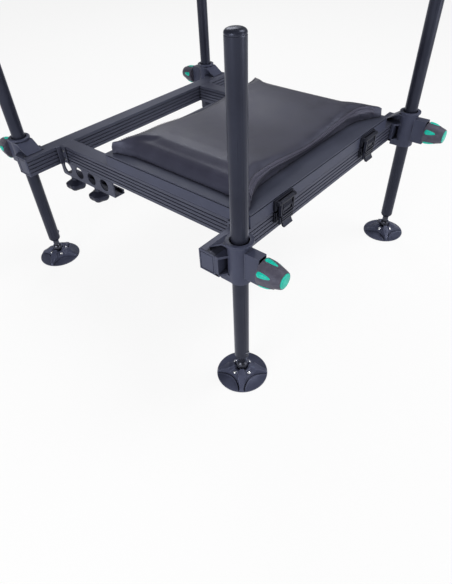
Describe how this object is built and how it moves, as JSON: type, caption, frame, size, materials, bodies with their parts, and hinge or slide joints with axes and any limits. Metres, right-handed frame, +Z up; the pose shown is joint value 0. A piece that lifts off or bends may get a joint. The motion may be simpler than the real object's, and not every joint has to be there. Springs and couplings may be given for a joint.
{
  "type": "fishing chair",
  "caption": "Low fishing seat frame with grooved alloy rails, sliding round legs on tilting feet, green-gripped lock knobs and a padded saddle seat held by latches.",
  "frame": {"origin": "on the ground, in the middle of the four legs", "axes": "+Z up, +Y towards the sitter's feet, X across the seat"},
  "size_m": [0.6449, 0.7216, 0.557],
  "materials": {
    "alloy": "black satin anodised",
    "plastic": "black moulded, satin",
    "green": "green moulded, smooth",
    "chrome": "polished",
    "steel": "zinc plated",
    "nylon": "plain",
    "fabric": "black coated cover, satin"
  },
  "bodies": {
    "frame": {"rear_cross_rail": "alloy", "front_cross_rail": "alloy", "left_side_rail": "alloy", "right_side_rail": "alloy", "seat_cross_rail": "alloy", "rail_end_cap_rear_left": "plastic", "corner_angle_rear_left": "alloy", "leg_block_rear_left": "plastic", "rail_end_cap_rear_right": "plastic", "corner_angle_rear_right": "alloy", "leg_block_rear_right": "plastic", "rail_end_cap_front_left": "plastic", "corner_angle_front_left": "alloy", "leg_block_front_left": "plastic", "rail_end_cap_front_right": "plastic", "corner_angle_front_right": "alloy", "leg_block_front_right": "plastic", "footplate_channel_left": "alloy", "latch_catch_rear_left": "plastic", "footplate_channel_right": "alloy", "latch_catch_rear_right": "plastic", "seat_ring": "plastic", "seat_board": "plastic", "seat_pad": "fabric"},
    "leg_rear_left": {"leg_tube_rear_left": "alloy", "foot_stud_rear_left": "chrome"},
    "foot_rear_left": {"foot_rear_left": "plastic"},
    "button_rear_left": {"snap_button_rear_left": "steel"},
    "clamp_rear_left": {"clamp_pad_rear_left": "nylon"},
    "knob_rear_left": {"lock_knob_rear_left": "plastic", "knob_core_rear_left": "green"},
    "latch_rear_left": {"latch_lever_rear_left": "plastic"},
    "leg_rear_right": {"leg_tube_rear_right": "alloy", "foot_stud_rear_right": "chrome"},
    "foot_rear_right": {"foot_rear_right": "plastic"},
    "button_rear_right": {"snap_button_rear_right": "steel"},
    "clamp_rear_right": {"clamp_pad_rear_right": "nylon"},
    "knob_rear_right": {"lock_knob_rear_right": "plastic", "knob_core_rear_right": "green"},
    "latch_rear_right": {"latch_lever_rear_right": "plastic"},
    "leg_front_left": {"leg_tube_front_left": "alloy", "foot_stud_front_left": "chrome"},
    "foot_front_left": {"foot_front_left": "plastic"},
    "button_front_left": {"snap_button_front_left": "steel"},
    "clamp_front_left": {"clamp_pad_front_left": "nylon"},
    "knob_front_left": {"lock_knob_front_left": "plastic", "knob_core_front_left": "green"},
    "latch_front_left": {"latch_lever_front_left": "plastic"},
    "leg_front_right": {"leg_tube_front_right": "alloy", "foot_stud_front_right": "chrome"},
    "foot_front_right": {"foot_front_right": "plastic"},
    "button_front_right": {"snap_button_front_right": "steel"},
    "clamp_front_right": {"clamp_pad_front_right": "nylon"},
    "knob_front_right": {"lock_knob_front_right": "plastic", "knob_core_front_right": "green"},
    "latch_front_right": {"latch_lever_front_right": "plastic"},
    "hand_knob_rear_left": {"hand_knob_rear_left": "plastic"},
    "hand_knob_front_left": {"hand_knob_front_left": "plastic"},
    "hand_knob_rear_right": {"hand_knob_rear_right": "plastic"},
    "hand_knob_front_right": {"hand_knob_front_right": "plastic"}
  },
  "joints": [
    {"name": "leg_slide_rear_left", "type": "slide", "parent": "frame", "child": "leg_rear_left", "axis": [0, 0, 1], "range_m": [-0.235, 0.15]},
    {"name": "foot_tilt_rear_left", "type": "hinge", "parent": "leg_rear_left", "child": "foot_rear_left", "pos_m": [-0.277, -0.282, 0.025], "axis": [1, 0, 0], "range_deg": [-15, 15]},
    {"name": "button_press_rear_left", "type": "slide", "parent": "leg_rear_left", "child": "button_rear_left", "axis": [0, 1, 0], "range_m": [0, 0.0025], "stiffness_N_per_m": 800, "springref_m": -0.001},
    {"name": "clamp_slide_rear_left", "type": "slide", "parent": "frame", "child": "clamp_rear_left", "axis": [0, -1, 0], "range_m": [0, 0.00226]},
    {"name": "knob_turn_rear_left", "type": "hinge", "parent": "clamp_rear_left", "child": "knob_rear_left", "pos_m": [-0.277, -0.282, 0.2615], "axis": [0, -1, 0], "range_deg": [0, 540]},
    {"name": "latch_swing_rear_left", "type": "hinge", "parent": "frame", "child": "latch_rear_left", "pos_m": [-0.139, -0.266, 0.288], "axis": [-1, 0, 0], "range_deg": [0, 100]},
    {"name": "leg_slide_rear_right", "type": "slide", "parent": "frame", "child": "leg_rear_right", "axis": [0, 0, 1], "range_m": [-0.235, 0.15]},
    {"name": "foot_tilt_rear_right", "type": "hinge", "parent": "leg_rear_right", "child": "foot_rear_right", "pos_m": [0.277, -0.282, 0.025], "axis": [1, 0, 0], "range_deg": [-15, 15]},
    {"name": "button_press_rear_right", "type": "slide", "parent": "leg_rear_right", "child": "button_rear_right", "axis": [-1, 0, 0], "range_m": [0, 0.0025], "stiffness_N_per_m": 800, "springref_m": -0.001},
    {"name": "clamp_slide_rear_right", "type": "slide", "parent": "frame", "child": "clamp_rear_right", "axis": [0, -1, 0], "range_m": [0, 0.00226]},
    {"name": "knob_turn_rear_right", "type": "hinge", "parent": "clamp_rear_right", "child": "knob_rear_right", "pos_m": [0.277, -0.282, 0.2615], "axis": [0, -1, 0], "range_deg": [0, 540]},
    {"name": "latch_swing_rear_right", "type": "hinge", "parent": "frame", "child": "latch_rear_right", "pos_m": [0.139, -0.266, 0.288], "axis": [-1, 0, 0], "range_deg": [0, 100]},
    {"name": "leg_slide_front_left", "type": "slide", "parent": "frame", "child": "leg_front_left", "axis": [0, 0, 1], "range_m": [-0.235, 0.15]},
    {"name": "foot_tilt_front_left", "type": "hinge", "parent": "leg_front_left", "child": "foot_front_left", "pos_m": [-0.277, 0.282, 0.025], "axis": [1, 0, 0], "range_deg": [-15, 15]},
    {"name": "button_press_front_left", "type": "slide", "parent": "leg_front_left", "child": "button_front_left", "axis": [-1, 0, 0], "range_m": [0, 0.0025], "stiffness_N_per_m": 800, "springref_m": -0.001},
    {"name": "clamp_slide_front_left", "type": "slide", "parent": "frame", "child": "clamp_front_left", "axis": [0, 1, 0], "range_m": [0, 0.00226]},
    {"name": "knob_turn_front_left", "type": "hinge", "parent": "clamp_front_left", "child": "knob_front_left", "pos_m": [-0.277, 0.282, 0.2615], "axis": [0, 1, 0], "range_deg": [0, 540]},
    {"name": "latch_swing_front_left", "type": "hinge", "parent": "frame", "child": "latch_front_left", "pos_m": [-0.139, 0.088, 0.288], "axis": [1, 0, 0], "range_deg": [0, 100]},
    {"name": "leg_slide_front_right", "type": "slide", "parent": "frame", "child": "leg_front_right", "axis": [0, 0, 1], "range_m": [-0.235, 0.15]},
    {"name": "foot_tilt_front_right", "type": "hinge", "parent": "leg_front_right", "child": "foot_front_right", "pos_m": [0.277, 0.282, 0.025], "axis": [1, 0, 0], "range_deg": [-15, 15]},
    {"name": "button_press_front_right", "type": "slide", "parent": "leg_front_right", "child": "button_front_right", "axis": [1, 0, 0], "range_m": [0, 0.0025], "stiffness_N_per_m": 800, "springref_m": -0.001},
    {"name": "clamp_slide_front_right", "type": "slide", "parent": "frame", "child": "clamp_front_right", "axis": [0, 1, 0], "range_m": [0, 0.00226]},
    {"name": "knob_turn_front_right", "type": "hinge", "parent": "clamp_front_right", "child": "knob_front_right", "pos_m": [0.277, 0.282, 0.2615], "axis": [0, 1, 0], "range_deg": [0, 540]},
    {"name": "latch_swing_front_right", "type": "hinge", "parent": "frame", "child": "latch_front_right", "pos_m": [0.139, 0.088, 0.288], "axis": [1, 0, 0], "range_deg": [0, 100]},
    {"name": "hand_knob_turn_rear_left", "type": "hinge", "parent": "frame", "child": "hand_knob_rear_left", "pos_m": [-0.21, 0.152, 0.195], "axis": [0, 0, 1], "range_deg": [-180, 180]},
    {"name": "hand_knob_turn_front_left", "type": "hinge", "parent": "frame", "child": "hand_knob_front_left", "pos_m": [-0.21, 0.232, 0.195], "axis": [0, 0, 1], "range_deg": [-180, 180]},
    {"name": "hand_knob_turn_rear_right", "type": "hinge", "parent": "frame", "child": "hand_knob_rear_right", "pos_m": [0.21, 0.152, 0.195], "axis": [0, 0, 1], "range_deg": [-180, 180]},
    {"name": "hand_knob_turn_front_right", "type": "hinge", "parent": "frame", "child": "hand_knob_front_right", "pos_m": [0.21, 0.232, 0.195], "axis": [0, 0, 1], "range_deg": [-180, 180]}
  ],
  "couplings": [
    {"joint": "clamp_slide_rear_left", "follows": "knob_turn_rear_left", "m_per_rad": 0.00023873},
    {"joint": "clamp_slide_rear_right", "follows": "knob_turn_rear_right", "m_per_rad": 0.00023873},
    {"joint": "clamp_slide_front_left", "follows": "knob_turn_front_left", "m_per_rad": 0.00023873},
    {"joint": "clamp_slide_front_right", "follows": "knob_turn_front_right", "m_per_rad": 0.00023873}
  ]
}
